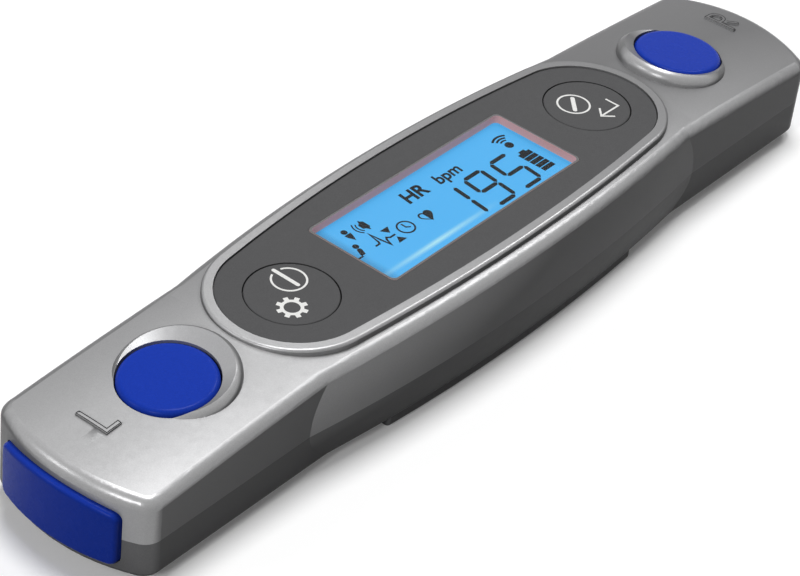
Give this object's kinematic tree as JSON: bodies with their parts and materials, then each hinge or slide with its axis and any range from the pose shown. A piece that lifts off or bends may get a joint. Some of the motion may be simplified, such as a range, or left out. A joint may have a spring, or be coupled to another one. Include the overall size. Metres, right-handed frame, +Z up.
{
  "type": "handheld ecg home monitor",
  "caption": "Bar-shaped two-handed heart monitor: silver case, blue thumb and end electrodes, oval panel with a lit display between two keys, sliding battery door underneath.",
  "frame": {"origin": "middle of the object's length and width, on the surface it lies on", "axes": "+X along the case towards the right hand's end, +Y away from the reader, +Z up out of the display"},
  "size_m": [0.189, 0.04, 0.0227],
  "materials": {
    "silver_upper": "satin silver paint over moulded plastic",
    "silver_lower": "satin darker silver paint over moulded plastic",
    "dark_plate": "fine matt dark grey",
    "dark_key": "fine matt dark grey",
    "bezel_pink": "light pinkish grey",
    "window_lens": "clear window",
    "lcd_cell": "lit liquid crystal cell",
    "light_guide": "white light guide",
    "inner_black": "moulded black plastic",
    "elastomer": "grey silicone strips",
    "switch_cream": "moulded switch part",
    "blue_pad": "blue conductive moulding",
    "gilt_pin": "plated brass",
    "spring_metal": "plated spring steel",
    "board_green": "glass fibre board",
    "chip_black": "moulded chip packages",
    "shield_can": "tinned shield",
    "cell_wrap": "printed cell jacket, bare of marks",
    "film_amber": "polyimide film",
    "key_print": "white screen print",
    "display_ink": "black display segments",
    "screw_steel": "zinc plated steel"
  },
  "bodies": {
    "case": {"top_shell": "silver_upper", "bottom_shell": "silver_lower", "faceplate": "dark_plate", "display_bezel": "bezel_pink", "display_lens": "window_lens", "lcd_glass": "lcd_cell", "lcd_backlight": "light_guide", "lcd_holder": "inner_black", "lcd_connectors": "elastomer", "power_switch": "switch_cream", "enter_switch": "switch_cream", "left_pin_barrel": "gilt_pin", "right_pin_barrel": "gilt_pin", "left_end_electrode": "blue_pad", "right_end_electrode": "blue_pad", "left_end_contact": "spring_metal", "right_end_contact": "spring_metal", "left_electrode_board": "board_green", "right_electrode_board": "board_green", "left_ribbon": "film_amber", "right_ribbon": "film_amber", "main_board": "board_green", "board_chips": "chip_black", "wireless_module": "shield_can", "buzzer": "inner_black", "front_cell": "cell_wrap", "rear_cell": "cell_wrap", "battery_springs": "spring_metal", "battery_contacts": "spring_metal", "case_screws": "screw_steel", "board_screws": "screw_steel"},
    "power_key": {"power_button": "dark_key", "power_switch_plunger": "inner_black"},
    "enter_key": {"enter_button": "dark_key", "enter_switch_plunger": "inner_black"},
    "left_thumb_pad": {"left_thumb_electrode": "blue_pad", "left_pin_plunger": "gilt_pin"},
    "right_thumb_pad": {"right_thumb_electrode": "blue_pad", "right_pin_plunger": "gilt_pin"},
    "door": {"battery_door": "silver_lower"}
  },
  "joints": [
    {"name": "power_button_press", "type": "slide", "parent": "case", "child": "power_key", "axis": [0, 0, -1], "range_m": [0, 0.0005], "stiffness_N_per_m": 2000},
    {"name": "enter_button_press", "type": "slide", "parent": "case", "child": "enter_key", "axis": [0, 0, -1], "range_m": [0, 0.0005], "stiffness_N_per_m": 2000},
    {"name": "left_thumb_press", "type": "slide", "parent": "case", "child": "left_thumb_pad", "axis": [0.0872, 0, -0.9962], "range_m": [0, 0.0008], "stiffness_N_per_m": 1000},
    {"name": "right_thumb_press", "type": "slide", "parent": "case", "child": "right_thumb_pad", "axis": [-0.0872, 0, -0.9962], "range_m": [0, 0.0008], "stiffness_N_per_m": 1000},
    {"name": "battery_door_slide", "type": "slide", "parent": "case", "child": "door", "axis": [1, 0, 0], "range_m": [0, 0.014]}
  ]
}
